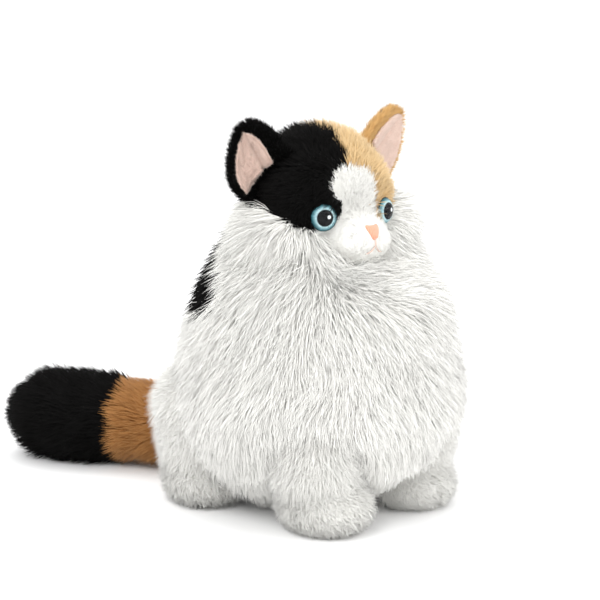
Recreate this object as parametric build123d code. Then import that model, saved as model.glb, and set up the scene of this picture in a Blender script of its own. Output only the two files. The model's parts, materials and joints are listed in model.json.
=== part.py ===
from build123d import *
from build123d.topology import SkipClean
import math
import os

# A sitting plush cat: a stuffed round torso, a wide sewn neck and head, two ears,
# four stuffed legs and a bushy tail. The frame is in millimetres, +Z is up, the cat
# faces -Y and its right side is on -X. The origin is the centre of the flat belly base.

# Torso: a surface of revolution about Z. Each pair is a radius and a height.
BASE_RADIUS = 28.0
TORSO_TOP = 186.0
COVER = 4.0
TORSO_SIDE = [(58, 11), (80, 30), (96, 54), (106, 82), (103, 115), (93, 152), (78, TORSO_TOP)]
TORSO_BASE_PANEL_RADIUS = 62.0
BACK_PATCH_BOTTOM = 160.0
FRONT_RIGHT_SEAM = 215.0
FRONT_LEFT_SEAM = -35.0
REAR_LEFT_SEAM = 45.0
REAR_RIGHT_SEAM = 135.0

# Weight pouch inside the torso.
POUCH_CENTRE = (0, 4, 34)
POUCH_RADIUS = 27.0
POUCH_HALF_HEIGHT = 20.0
POUCH_SKIN = 1.0

# Neck, head and muzzle.
NECK_RADIUS = 46.0
NECK_TOP = 225.0
HEAD_CENTRE = (0, 0, 238)
HEAD_HALF_WIDTH = 60.0
HEAD_RADIUS = 49.0
MUZZLE_CENTRE = (0, -35, 212)
MUZZLE_HALF_WIDTH = 29.5
MUZZLE_RADIUS = 25.0
FACE_OUTLINE = [
    (-11, 270), (-22, 262), (-29, 254), (-24, 245), (-24, 232), (-34, 221), (-70, 228),
    (-70, 180), (70, 180), (70, 228), (34, 221), (20, 230), (6, 236), (10, 246), (12, 257), (4, 268),
]
FACE_BACK = -3.0
RUFF_OUTER = [(77, TORSO_TOP), (73, 200), (67, 213), (57, 224)]
RUFF_TOP = 224.0
RUFF_FACE_HALF_ANGLE = 36.0

# Safety eyes: a clear dome over a printed iris, a shank through the cover and a lock washer.
EYE_CENTRE = (31.7, -39.6, 228.0)
EYE_TURN = 30.0
EYE_RADIUS = 9.5
EYE_BULGE = 5.5
IRIS_THICKNESS = 1.0
SHANK_RADIUS = 2.5
SHANK_LENGTH = 14.0
WASHER_RADIUS = 8.0
WASHER_THICKNESS = 1.5
WASHER_DEPTH = 8.0

# Embroidery on the muzzle.
NOSE_HEIGHT = 219.0
NOSE_RAISE = 1.6
NOSE_OUTLINE = [(-6.5, 5.0), (0, 6.0), (6.5, 5.0), (4.5, -1.5), (0, -6.0), (-4.5, -1.5)]
THREAD_RAISE = 0.8
MOUTH_CENTRE_TOP = 211.0
MOUTH_JUNCTION = 206.0
MOUTH_END = (8.5, 199.5)
THREAD_WIDTH = 1.2

# Ears: flat pads that fold about a line along their base.
EAR_HINGE = (56.5, -2.0, 264.6)
EAR_LEAN = 54.7
EAR_HALF_BASE = 20.0
EAR_THICKNESS = 8.0
EAR_OUTER_SIDE = [(20, 12), (12, 24), (0, 34)]
EAR_TIP = (-12.5, 40.5)
EAR_INNER_SIDE = [(-18, 36), (-21, 24), (-21.5, 12)]
EAR_LINING_SCALE = 0.74
EAR_LINING_LIFT = 3.0
EAR_LINING_DEPTH = 2.5

# Legs: a round hip in a pocket of the torso, a short upper leg and a rounded foot.
LEG_COVER = 3.0
LEG_CLEARANCE = 1.2
FRONT_HIP = (48.0, -46.0, 50.0)
FRONT_HIP_RADIUS = 27.0
FRONT_FOOT = (45.0, -52.0, 17.0)
FRONT_FOOT_HALF_LENGTH = 33.0
FRONT_FOOT_RADIUS = 25.0
FRONT_SPLAY = 6.0
FRONT_SWING = 10.0
HIND_HIP = (58.0, 58.0, 60.0)
HIND_HIP_RADIUS = 30.0
HIND_FOOT = (60.0, 62.0, 17.0)
HIND_FOOT_HALF_LENGTH = 34.0
HIND_FOOT_RADIUS = 26.0
HIND_SPLAY = 35.0
HIND_SWING = 8.0
UPPER_LEG_RADIUS = 24.0
SOLE_THICKNESS = 3.0
TOE_SPACING = 9.0
TOE_STITCH_LOW = 6.0
TOE_STITCH_HIGH = 27.0

# Tail: a solid of revolution about its own axis, lying on the floor and turned to one side.
TAIL_ROOT = (0.0, 108.0, 36.0)
TAIL_TURN = 28.0
TAIL_BALL_RADIUS = 22.0
TAIL_NECK_START = 10.0
TAIL_SIDE = [(20, 21.5), (32, 26), (50, 30), (75, 32.5), (96, 34), (120, 35.6), (142, 36), (164, 32)]
TAIL_END = 189.0
TAIL_COLOUR_SEAM = 96.0
ROOT_SEAM_INNER = 22.5
ROOT_SEAM_OUTER = 24.4
ROOT_SEAM_START = -18.0
ROOT_SEAM_END = -12.0
TAIL_POCKET_RADIUS = 24.9

# Closing seam at the back of the belly panel.
STITCH_COUNT = 7
STITCH_RADIUS = 0.6
STITCH_LENGTH = 5.0
STITCH_STEP = 5.5

FAR = 400.0
SIDES = {"right": -1, "left": 1}


def full_turn(profile, axis):
    """A solid of revolution made of two half turns, so that no face closes on itself."""
    half = revolve(profile, axis, 180)
    return half + half.rotate(axis, 180)


def spheroid(half_length, radius):
    """Ellipsoid of revolution about X, centred on the origin."""
    steps = 12
    angles = [math.pi * i / steps for i in range(steps + 1)]
    arc = [(-half_length * math.cos(a), radius * math.sin(a)) for a in angles[1:-1]]
    start = (-half_length, 0)
    end = (half_length, 0)
    curve = Spline(start, *arc, end, tangents=[(0, 1), (0, -1)])
    return full_turn(make_face(Curve() + curve + Line(end, start)), Axis.X)


def ball(radius):
    return spheroid(radius, radius)


def half_space_below(height):
    """A large block whose top face is at the given height."""
    return Pos(0, 0, height - FAR / 2) * Box(2 * FAR, 2 * FAR, FAR)


def sector(start, end):
    """A tall wedge about Z between two angles counted from +X."""
    steps = 8
    angles = [math.radians(start + (end - start) * i / steps) for i in range(steps + 1)]
    rim = [(FAR * math.cos(a), FAR * math.sin(a)) for a in angles]
    return extrude(make_face(Polyline((0, 0), *rim, (0, 0))), FAR)


def largest(shape):
    """The biggest solid of a cut, without any crumbs it leaves."""
    return max(shape.solids(), key=lambda solid: solid.volume)


def plain(shape):
    """One closed solid, or a compound where the piece is several stitches."""
    solids = shape.solids()
    if len(solids) == 1:
        return solids[0]
    return Compound(children=solids)


def mirrored(shape, side):
    """The shape as drawn for the left side, or mirrored for the right side."""
    if side > 0:
        return shape
    return mirror(shape, Plane.YZ)


def turned_solid(side, base, top, base_radius):
    """A solid of revolution about Z with a curved side between two flat ends."""
    curve = Spline((base_radius, 0, base), *[(r, 0, z) for r, z in side])
    end_radius = side[-1][0]
    ends = Polyline((end_radius, 0, top), (0, 0, top), (0, 0, base), (base_radius, 0, base))
    return full_turn(make_face(Curve() + curve + ends), Axis.Z)


def torso_outer():
    return turned_solid(TORSO_SIDE, 0, TORSO_TOP, BASE_RADIUS)


def torso_inner():
    """The stuffing's shape: the torso less its cover, open at the neck."""
    side = []
    for radius, height in TORSO_SIDE[:-1]:
        rise = COVER if height < BACK_PATCH_BOTTOM / 4 else 0
        side.append((radius - COVER + rise / 4, height + rise / 2))
    top = TORSO_TOP - COVER
    side.append((TORSO_SIDE[-1][0] - COVER + 1.5, top))
    neck = Pos(0, 0, top) * Cylinder(NECK_RADIUS - COVER, COVER, align=(Align.CENTER, Align.CENTER, Align.MIN))
    return turned_solid(side, COVER, top, BASE_RADIUS) + neck


def leg_shape(hip, hip_radius, foot, half_length, radius, splay, grow):
    """Outer shape of a left leg, larger by grow all over."""
    round_hip = Pos(*hip) * ball(hip_radius + grow)
    shin_top = Vector(*hip)
    shin_foot = Vector(*foot)
    along = shin_foot - shin_top
    shin_plane = Plane(origin=shin_top, z_dir=along.normalized())
    shin = extrude(shin_plane * Circle(UPPER_LEG_RADIUS + grow), along.length)
    paw = Pos(*foot) * Rot(0, 0, splay - 90) * spheroid(half_length + grow, radius + grow)
    return round_hip + shin + paw


def leg_swings(hip, shape, swing):
    """The space a leg needs from one end of its swing to the other."""
    there = Pos(*hip)
    back = Pos(-hip[0], -hip[1], -hip[2])
    space = shape
    for angle in (-swing, swing):
        space = space + there * Rot(angle, 0, 0) * back * shape
    return space


def front_leg(grow):
    return leg_shape(FRONT_HIP, FRONT_HIP_RADIUS, FRONT_FOOT, FRONT_FOOT_HALF_LENGTH,
                     FRONT_FOOT_RADIUS, FRONT_SPLAY, grow)


def hind_leg(grow):
    return leg_shape(HIND_HIP, HIND_HIP_RADIUS, HIND_FOOT, HIND_FOOT_HALF_LENGTH,
                     HIND_FOOT_RADIUS, HIND_SPLAY, grow)


def leg_pockets():
    """Pockets in the torso that clear all four legs over their swing."""
    front = leg_swings(FRONT_HIP, front_leg(LEG_CLEARANCE), FRONT_SWING)
    hind = leg_swings(HIND_HIP, hind_leg(LEG_CLEARANCE), HIND_SWING)
    return [mirrored(pocket, side) for pocket in (front, hind) for side in SIDES.values()]


def toe_stitches(foot, half_length, radius, splay):
    """Three upright threads that part the toes on the front of a foot."""
    turn = Pos(*foot) * Rot(0, 0, splay - 90)
    skin = turn * (spheroid(half_length + THREAD_RAISE, radius + THREAD_RAISE) - spheroid(half_length, radius))
    height = TOE_STITCH_HIGH - TOE_STITCH_LOW
    middle = (TOE_STITCH_HIGH + TOE_STITCH_LOW) / 2 - foot[2]
    threads = []
    for step in (-1, 0, 1):
        blade = turn * Pos(half_length, step * TOE_SPACING, middle) * Box(half_length, THREAD_WIDTH, height)
        threads.append(largest(skin & blade))
    return Compound(children=threads)


def leg_pieces(leg, foot, half_length, radius, splay):
    """Cover, stuffing, sole and toe stitches of a left leg."""
    floor = half_space_below(0)
    outer = leg(0) - floor
    inner = leg(-LEG_COVER) - half_space_below(SOLE_THICKNESS)
    shell = outer - inner
    sole_block = half_space_below(SOLE_THICKNESS)
    return {
        "cover": largest(shell - sole_block),
        "stuffing": plain(inner),
        "sole": largest(shell & sole_block),
        "toe_stitches": toe_stitches(foot, half_length, radius, splay),
    }


def tail_profile(inset):
    """Tail turned about X, with X along the tail from the root, thinner by inset all over."""
    root_radius = TAIL_BALL_RADIUS - inset
    start = (TAIL_NECK_START, math.sqrt(root_radius ** 2 - TAIL_NECK_START ** 2))
    start_angle = math.degrees(math.atan2(start[1], start[0]))
    round_end = CenterArc((0, 0), root_radius, start_angle, 180 - start_angle)
    side = [(d, r - inset) for d, r in TAIL_SIDE]
    tip = (TAIL_END - inset, 0)
    curve = Spline(start, *side, tip, tangents=[(1, 0), (0, -1)])
    axis = Line(tip, (-root_radius, 0))
    return full_turn(make_face(Curve() + round_end + curve + axis), Axis.X)


def tail_placed(shape):
    return Pos(*TAIL_ROOT) * Rot(0, 0, 90 + TAIL_TURN) * shape


def tail_pieces():
    inner = tail_profile(COVER)
    shell = tail_profile(0) - inner
    tip_block = Pos(TAIL_COLOUR_SEAM + FAR / 2, 0, 0) * Box(FAR, FAR, FAR)
    return {
        "tail_base_cover": largest(tail_placed(shell - tip_block)),
        "tail_tip_cover": largest(tail_placed(shell & tip_block)),
        "tail_stuffing": plain(tail_placed(inner)),
    }


def tail_root_seam():
    """A ring of cloth round the ball of the tail, where it is sewn to the torso."""
    band = ball(ROOT_SEAM_OUTER) - ball(ROOT_SEAM_INNER)
    width = ROOT_SEAM_END - ROOT_SEAM_START
    slab = Pos(ROOT_SEAM_START + width / 2, 0, 0) * Box(width, FAR, FAR)
    return plain(tail_placed(band & slab))


def torso_pieces(openings):
    """Cover panels, stuffing and weight pouch of the torso."""
    inner = torso_inner()
    shell = torso_outer() - inner
    pouch = Pos(*POUCH_CENTRE) * Rot(0, 90, 0) * spheroid(POUCH_HALF_HEIGHT, POUCH_RADIUS)
    fill = Pos(*POUCH_CENTRE) * Rot(0, 90, 0) * spheroid(POUCH_HALF_HEIGHT - POUCH_SKIN, POUCH_RADIUS - POUCH_SKIN)
    stuffing = inner - pouch
    for opening in openings:
        shell = shell - opening
        stuffing = stuffing - opening
    base_block = Cylinder(TORSO_BASE_PANEL_RADIUS, BACK_PATCH_BOTTOM / 2)
    walls = shell - base_block
    rear = walls & sector(REAR_LEFT_SEAM, REAR_RIGHT_SEAM)
    return {
        "belly_base_panel": largest(shell & base_block),
        "torso_chest_panel": largest(walls & sector(FRONT_RIGHT_SEAM, FRONT_LEFT_SEAM + 360)),
        "torso_right_panel": largest(walls & sector(REAR_RIGHT_SEAM, FRONT_RIGHT_SEAM)),
        "torso_left_panel": largest(walls & sector(FRONT_LEFT_SEAM, REAR_LEFT_SEAM)),
        "torso_back_panel": largest(rear & half_space_below(BACK_PATCH_BOTTOM)),
        "back_patch_black": largest(rear - half_space_below(BACK_PATCH_BOTTOM)),
        "torso_stuffing": largest(stuffing),
        "pellet_pouch": plain(pouch - fill),
        "pellet_fill": plain(fill),
    }


def closing_stitches():
    """Short threads across the seam at the back of the belly panel."""
    threads = []
    seam_height = 14.5
    for index in range(STITCH_COUNT):
        offset = (index - (STITCH_COUNT - 1) / 2) * STITCH_STEP
        angle = 90 + math.degrees(offset / TORSO_BASE_PANEL_RADIUS)
        thread = Rot(0, 38, 0) * Cylinder(STITCH_RADIUS, STITCH_LENGTH)
        place = Rot(0, 0, angle) * Pos(TORSO_BASE_PANEL_RADIUS + STITCH_RADIUS, 0, seam_height - 3.9)
        threads.append(place * thread)
    return threads


def head_outer(inset):
    """Head, muzzle and neck in one outline, smaller by inset all over."""
    skull = Pos(*HEAD_CENTRE) * spheroid(HEAD_HALF_WIDTH - inset, HEAD_RADIUS - inset)
    muzzle = Pos(*MUZZLE_CENTRE) * spheroid(MUZZLE_HALF_WIDTH - inset, MUZZLE_RADIUS - inset)
    neck_height = NECK_TOP - TORSO_TOP
    neck = Pos(0, 0, TORSO_TOP) * Cylinder(
        NECK_RADIUS - inset, neck_height, align=(Align.CENTER, Align.CENTER, Align.MIN))
    return skull + muzzle + neck


def eye_placed(shape, side):
    """A shape drawn with +Z out of the face, set at one eye."""
    left = Pos(*EYE_CENTRE) * Rot(0, 0, EYE_TURN) * Rot(90, 0, 0) * shape
    return mirrored(left, side)


def eye_pieces(side):
    """Dome, iris, shank and lock washer of one eye, with +Z out of the face."""
    ball_radius = (EYE_RADIUS ** 2 + EYE_BULGE ** 2) / (2 * EYE_BULGE)
    outside = Pos(0, 0, FAR / 2) * Box(FAR, FAR, FAR)
    dome = (Pos(0, 0, EYE_BULGE - ball_radius) * ball(ball_radius)) & outside
    under = (Align.CENTER, Align.CENTER, Align.MAX)
    iris = Cylinder(EYE_RADIUS, IRIS_THICKNESS, align=under)
    shank = Pos(0, 0, -IRIS_THICKNESS) * Cylinder(SHANK_RADIUS, SHANK_LENGTH, align=under)
    washer = Cylinder(WASHER_RADIUS, WASHER_THICKNESS, align=under)
    washer = washer - Cylinder(SHANK_RADIUS, 4 * WASHER_THICKNESS)
    washer = Pos(0, 0, -WASHER_DEPTH) * washer
    pieces = {"dome": dome, "iris": iris, "shank": shank, "washer": washer}
    return {name: plain(eye_placed(piece, side)) for name, piece in pieces.items()}


def eye_opening(side):
    """The space one eye takes out of the cover and the stuffing."""
    seat = Cylinder(EYE_RADIUS, FAR / 4, align=(Align.CENTER, Align.CENTER, Align.MIN))
    seat = Pos(0, 0, -IRIS_THICKNESS) * seat
    under = (Align.CENTER, Align.CENTER, Align.MAX)
    shank = Cylinder(SHANK_RADIUS, SHANK_LENGTH + IRIS_THICKNESS, align=under)
    washer = Pos(0, 0, -WASHER_DEPTH) * Cylinder(WASHER_RADIUS, WASHER_THICKNESS, align=under)
    return eye_placed(seat + shank + washer, side)


def front_prism(points, smooth):
    """An outline in X and Z, carried forward through the face towards -Y."""
    corners = [(x, FACE_BACK, z) for x, z in points]
    if smooth:
        outline = Spline(*corners, periodic=True)
    else:
        outline = Polyline(*corners, corners[0])
    face = make_face(outline)
    return extrude(face, FAR, dir=(0, -1, 0))


def thread_strip(start, end):
    """A narrow upright strip between two points in X and Z, carried forward."""
    across = Vector(end[1] - start[1], start[0] - end[0]).normalized() * (THREAD_WIDTH / 2)
    corners = [
        (start[0] + across.X, start[1] + across.Y), (end[0] + across.X, end[1] + across.Y),
        (end[0] - across.X, end[1] - across.Y), (start[0] - across.X, start[1] - across.Y),
    ]
    return front_prism(corners, False)


def raised_skin(height):
    """A thin layer over the front of the muzzle, for embroidery."""
    layer = spheroid(MUZZLE_HALF_WIDTH + height, MUZZLE_RADIUS + height)
    return Pos(*MUZZLE_CENTRE) * layer - head_outer(0)


def muzzle_embroidery():
    nose_points = [(x, z + NOSE_HEIGHT) for x, z in NOSE_OUTLINE]
    nose = raised_skin(NOSE_RAISE) & front_prism(nose_points, True)
    skin = raised_skin(THREAD_RAISE)
    junction = (0, MOUTH_JUNCTION)
    mouth = (skin & thread_strip((0, MOUTH_CENTRE_TOP), junction)).solids()
    for side in SIDES.values():
        end = (side * MOUTH_END[0], MOUTH_END[1])
        start = (side * THREAD_WIDTH, MOUTH_JUNCTION - THREAD_WIDTH)
        mouth += (skin & thread_strip(start, end)).solids()
    return {"nose_embroidery": largest(nose), "mouth_stitches": Compound(children=mouth)}


def head_pieces():
    """Head covers, face panel and stuffing, with the eye openings cut out."""
    inner = head_outer(COVER)
    shell = head_outer(0) - inner
    stuffing = inner & (Pos(0, 0, TORSO_TOP + FAR / 2) * Box(FAR, FAR, FAR))
    shell = shell & (Pos(0, 0, TORSO_TOP + FAR / 2) * Box(FAR, FAR, FAR))
    for side in SIDES.values():
        opening = eye_opening(side)
        shell = shell - opening
        stuffing = stuffing - opening
    face = front_prism(FACE_OUTLINE, False)
    rest = shell - face
    right_block = Pos(-FAR / 2, 0, FAR / 2) * Box(FAR, FAR, FAR)
    return {
        "face_panel_white": largest(shell & face),
        "head_cover_right_black": largest(rest & right_block),
        "head_cover_left_orange": largest(rest - right_block),
        "head_stuffing": largest(stuffing),
    }


def ruff_pieces():
    """Long-pile collar round the neck, open below the chin, with a black nape."""
    ring = turned_solid(RUFF_OUTER[1:], TORSO_TOP, RUFF_TOP, RUFF_OUTER[0][0]) - head_outer(0)
    for side in SIDES.values():
        ring = ring - eye_opening(side)
    face_right = 270 - RUFF_FACE_HALF_ANGLE
    face_left = -90 + RUFF_FACE_HALF_ANGLE
    return {
        "ruff_right": largest(ring & sector(REAR_RIGHT_SEAM, face_right)),
        "ruff_left": largest(ring & sector(face_left, REAR_LEFT_SEAM)),
        "nape_patch_black": largest(ring & sector(REAR_LEFT_SEAM, REAR_RIGHT_SEAM)),
    }


def ear_outline(scale, lift):
    """Ear outline with X along the base and Y up the ear, as a face."""
    outer = [(x * scale, y * scale + lift) for x, y in EAR_OUTER_SIDE]
    inner = [(x * scale, y * scale + lift) for x, y in EAR_INNER_SIDE]
    tip = (EAR_TIP[0] * scale, EAR_TIP[1] * scale + lift)
    left = (-EAR_HALF_BASE * scale, lift)
    right = (EAR_HALF_BASE * scale, lift)
    return make_face(Curve() + Line(left, right) + Spline(right, *outer, tip, *inner, left))


def ear_pieces(side):
    """Furred back and smooth lining of one ear, drawn with +Z to the front."""
    slab = Pos(0, 0, -EAR_THICKNESS / 2) * extrude(ear_outline(1, 0), EAR_THICKNESS)
    roll = Rot(0, 90, 0) * Cylinder(EAR_THICKNESS / 2, 2 * EAR_HALF_BASE)
    lining_start = EAR_THICKNESS / 2 - EAR_LINING_DEPTH
    lining = Pos(0, 0, lining_start) * extrude(ear_outline(EAR_LINING_SCALE, EAR_LINING_LIFT), EAR_LINING_DEPTH)
    pieces = {"back": slab + roll - lining, "lining": lining}
    turn = Pos(*EAR_HINGE) * Rot(0, EAR_LEAN, 0) * Rot(90, 0, 0)
    return {name: plain(mirrored(turn * piece, side)) for name, piece in pieces.items()}


def build():
    nodes = {}
    pocket = Pos(*TAIL_ROOT) * ball(TAIL_POCKET_RADIUS)
    nodes.update(torso_pieces(leg_pockets() + [pocket]))
    nodes["closing_seam_stitches"] = Compound(children=closing_stitches())
    nodes.update(head_pieces())
    nodes.update(ruff_pieces())
    nodes.update(muzzle_embroidery())
    nodes["tail_root_seam"] = tail_root_seam()
    nodes.update(tail_pieces())
    front = leg_pieces(front_leg, FRONT_FOOT, FRONT_FOOT_HALF_LENGTH, FRONT_FOOT_RADIUS, FRONT_SPLAY)
    hind = leg_pieces(hind_leg, HIND_FOOT, HIND_FOOT_HALF_LENGTH, HIND_FOOT_RADIUS, HIND_SPLAY)
    for name, side in SIDES.items():
        for piece, shape in eye_pieces(side).items():
            nodes[f"eye_{name}_{piece}"] = shape
        for piece, shape in ear_pieces(side).items():
            nodes[f"ear_{name}_{piece}"] = shape
        for piece, shape in front.items():
            nodes[f"front_leg_{name}_{piece}"] = mirrored(shape, side)
        for piece, shape in hind.items():
            nodes[f"hind_leg_{name}_{piece}"] = mirrored(shape, side)
    return nodes


os.makedirs("parts", exist_ok=True)
with SkipClean():
    pieces_by_node = build()
for node, shape in pieces_by_node.items():
    export_step(shape, f"parts/{node}.step")
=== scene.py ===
import json
import math

import bpy
import numpy as np
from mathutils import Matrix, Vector


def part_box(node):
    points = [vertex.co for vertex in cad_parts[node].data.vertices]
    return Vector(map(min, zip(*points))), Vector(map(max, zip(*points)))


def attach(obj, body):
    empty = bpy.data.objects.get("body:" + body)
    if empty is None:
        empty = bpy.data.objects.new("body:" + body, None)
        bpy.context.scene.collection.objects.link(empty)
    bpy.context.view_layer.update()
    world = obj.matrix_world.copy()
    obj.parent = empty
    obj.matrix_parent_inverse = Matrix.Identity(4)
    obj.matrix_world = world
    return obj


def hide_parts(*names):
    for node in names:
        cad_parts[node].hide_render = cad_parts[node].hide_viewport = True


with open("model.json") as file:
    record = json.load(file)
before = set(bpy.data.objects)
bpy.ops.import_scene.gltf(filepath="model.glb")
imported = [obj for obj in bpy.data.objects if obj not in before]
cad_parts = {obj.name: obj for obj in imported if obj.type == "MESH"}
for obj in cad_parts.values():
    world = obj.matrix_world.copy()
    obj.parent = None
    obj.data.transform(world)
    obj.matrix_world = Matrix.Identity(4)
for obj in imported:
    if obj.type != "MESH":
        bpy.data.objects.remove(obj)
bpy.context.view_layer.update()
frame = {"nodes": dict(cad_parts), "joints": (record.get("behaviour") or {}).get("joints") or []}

MM = 0.001
SCENE = bpy.context.scene
JOINTS = {joint["name"]: joint for joint in frame["joints"]}
SIDES = {"right": -1.0, "left": 1.0}
UP = np.array([0.0, 0.0, 1.0])


# ---------------------------------------------------------------- positions, in millimetres

def node_box(node):
    low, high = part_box(node)
    return np.array(low) / MM, np.array(high) / MM


def node_centre(node):
    low, high = node_box(node)
    return (low + high) / 2


def joint_point(name):
    return np.array(JOINTS[name]["pos_m"], float) / MM


HEAD_MIDDLE = (node_box("head_cover_left_orange")[1][2] + 189.0) / 2
HEAD = np.array([0.0, 0.0, HEAD_MIDDLE])
MUZZLE = np.array([0.0, -35.0, 212.0])
TAIL_ROOT = joint_point("tail_lift")
TAIL_ANGLE = math.radians(90 + 28)
TAIL_DIR = np.array([math.cos(TAIL_ANGLE), math.sin(TAIL_ANGLE), 0.0])
EYE_TURN = {"right": math.radians(27), "left": math.radians(15)}
EYE_SHIFT = {"right": (-1.8, 0.3, 1.2), "left": (-3.2, -1.5, 0.0)}


# ---------------------------------------------------------------- small vector helpers

def unit(v):
    length = np.linalg.norm(v, axis=-1, keepdims=True)
    return v / np.maximum(length, 1e-9)


def smooth_step(low, high, value):
    t = np.clip((value - low) / (high - low), 0, 1)
    return t * t * (3 - 2 * t)


def wave_noise(points, size, seed, count=9):
    """Smooth noise in about -1 to 1, from a few sine waves of the given size in mm."""
    rng = np.random.default_rng(seed)
    total = np.zeros(len(points))
    for _ in range(count):
        direction = unit(rng.normal(size=3))
        step = 2 * math.pi / (size * rng.uniform(0.7, 1.6))
        total += np.sin(points @ direction * step + rng.uniform(0, 6.28))
    return total / math.sqrt(count)


def vector_noise(points, size, seed):
    return np.stack([wave_noise(points, size, seed + k) for k in range(3)], 1)


# ---------------------------------------------------------------- materials

def new_material(name):
    material = bpy.data.materials.new(name)
    material.use_nodes = True
    tree = material.node_tree
    return material, tree, tree.nodes["Principled BSDF"]


def set_inputs(shader, **values):
    for key, value in values.items():
        shader.inputs[key.replace("_", " ")].default_value = value


def ramp(tree, stops):
    node = tree.nodes.new("ShaderNodeValToRGB")
    elements = node.color_ramp.elements
    while len(elements) < len(stops):
        elements.new(0.5)
    for element, (place, colour) in zip(elements, stops):
        element.position = place
        element.color = (*colour, 1)
    return node


def mixed(tree, kind, factor, first, second):
    node = tree.nodes.new("ShaderNodeMix")
    node.data_type = "RGBA"
    node.blend_type = kind
    node.inputs["Factor"].default_value = factor
    tree.links.new(first, node.inputs["A"])
    tree.links.new(second, node.inputs["B"])
    return node.outputs["Result"]


def fur_material(name, root, middle, tip, spread, roughness, sheen, specular):
    """Fibre colour runs from root to tip along V, and differs from fibre to fibre along U."""
    material, tree, shader = new_material(name)
    uv = tree.nodes.new("ShaderNodeUVMap")
    uv.uv_map = "OFBake"
    split = tree.nodes.new("ShaderNodeSeparateXYZ")
    tree.links.new(uv.outputs["UV"], split.inputs[0])
    along = ramp(tree, [(0.0, root), (0.35, middle), (1.0, tip)])
    tree.links.new(split.outputs["Y"], along.inputs["Fac"])
    dark = tuple(1 - spread for _ in range(3))
    between = ramp(tree, [(0.0, dark), (0.5, (1 - spread / 3,) * 3), (1.0, (1, 1, 1))])
    tree.links.new(split.outputs["X"], between.inputs["Fac"])
    colour = mixed(tree, "MULTIPLY", 1.0, along.outputs["Color"], between.outputs["Color"])
    tree.links.new(colour, shader.inputs["Base Color"])
    set_inputs(shader, Roughness=roughness, Sheen_Weight=sheen, Sheen_Roughness=0.5,
               Specular_IOR_Level=specular)
    return material


def cloth_material(name, colour, shade, scale, bump, roughness=0.9, sheen=0.3):
    """Backing cloth seen between the fibres: a mottled colour with a fine knitted relief."""
    material, tree, shader = new_material(name)
    place = tree.nodes.new("ShaderNodeTexCoord")
    noise = tree.nodes.new("ShaderNodeTexNoise")
    noise.inputs["Scale"].default_value = scale
    noise.inputs["Detail"].default_value = 5
    tree.links.new(place.outputs["Object"], noise.inputs["Vector"])
    colours = ramp(tree, [(0.3, shade), (0.7, colour)])
    tree.links.new(noise.outputs["Fac"], colours.inputs["Fac"])
    tree.links.new(colours.outputs["Color"], shader.inputs["Base Color"])
    fine = tree.nodes.new("ShaderNodeTexNoise")
    fine.inputs["Scale"].default_value = scale * 8
    tree.links.new(place.outputs["Object"], fine.inputs["Vector"])
    relief = tree.nodes.new("ShaderNodeBump")
    relief.inputs["Strength"].default_value = bump
    relief.inputs["Distance"].default_value = 0.0006
    tree.links.new(fine.outputs["Fac"], relief.inputs["Height"])
    tree.links.new(relief.outputs["Normal"], shader.inputs["Normal"])
    set_inputs(shader, Roughness=roughness, Sheen_Weight=sheen)
    return material


def thread_material(name, colour, shade, scale):
    """Satin stitching: close parallel threads with a soft shine."""
    material, tree, shader = new_material(name)
    place = tree.nodes.new("ShaderNodeTexCoord")
    wave = tree.nodes.new("ShaderNodeTexWave")
    wave.bands_direction = "X"
    wave.inputs["Scale"].default_value = scale
    wave.inputs["Distortion"].default_value = 1.2
    wave.inputs["Detail"].default_value = 2
    tree.links.new(place.outputs["Object"], wave.inputs["Vector"])
    colours = ramp(tree, [(0.0, shade), (0.6, colour)])
    tree.links.new(wave.outputs["Fac"], colours.inputs["Fac"])
    tree.links.new(colours.outputs["Color"], shader.inputs["Base Color"])
    relief = tree.nodes.new("ShaderNodeBump")
    relief.inputs["Strength"].default_value = 0.5
    relief.inputs["Distance"].default_value = 0.0003
    tree.links.new(wave.outputs["Fac"], relief.inputs["Height"])
    tree.links.new(relief.outputs["Normal"], shader.inputs["Normal"])
    set_inputs(shader, Roughness=0.45, Sheen_Weight=0.3)
    return material


WHITE_FUR = fur_material("white_pile", (0.88, 0.873, 0.825), (0.93, 0.923, 0.88), (0.955, 0.948, 0.91),
                         0.05, 0.75, 0.2, 0.1)
SHORT_FUR = fur_material("white_short_pile", (0.87, 0.863, 0.815), (0.92, 0.913, 0.87), (0.95, 0.943, 0.905),
                         0.05, 0.8, 0.2, 0.1)
BLACK_FUR = fur_material("black_pile", (0.0012, 0.0012, 0.0012), (0.0025, 0.0024, 0.0023),
                         (0.006, 0.0056, 0.0053), 0.4, 0.55, 0.0, 0.05)
ORANGE_FUR = fur_material("orange_pile", (0.52, 0.31, 0.12), (0.66, 0.43, 0.19), (0.76, 0.56, 0.31),
                          0.14, 0.7, 0.2, 0.12)
TAIL_ORANGE_FUR = fur_material("tail_orange_pile", (0.24, 0.08, 0.018), (0.33, 0.122, 0.03),
                               (0.50, 0.25, 0.088), 0.18, 0.7, 0.12, 0.1)
EAR_ORANGE_FUR = fur_material("ear_orange_pile", (0.52, 0.25, 0.07), (0.62, 0.34, 0.11),
                              (0.74, 0.47, 0.20), 0.15, 0.7, 0.15, 0.12)
PINK_FUR = fur_material("pink_nap", (0.72, 0.50, 0.42), (0.80, 0.60, 0.51), (0.88, 0.70, 0.61),
                        0.1, 0.8, 0.3, 0.1)
WHITE_CLOTH = cloth_material("white_backing", (0.93, 0.925, 0.90), (0.87, 0.865, 0.83), 60, 0.3)
BLACK_CLOTH = cloth_material("black_backing", (0.003, 0.003, 0.003), (0.002, 0.002, 0.002), 60, 0.4,
                             sheen=0.0)
ORANGE_CLOTH = cloth_material("orange_backing", (0.62, 0.38, 0.16), (0.48, 0.27, 0.10), 60, 0.4)
TAIL_ORANGE_CLOTH = cloth_material("tail_orange_backing", (0.32, 0.14, 0.04), (0.25, 0.105, 0.03), 60, 0.4)
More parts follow.
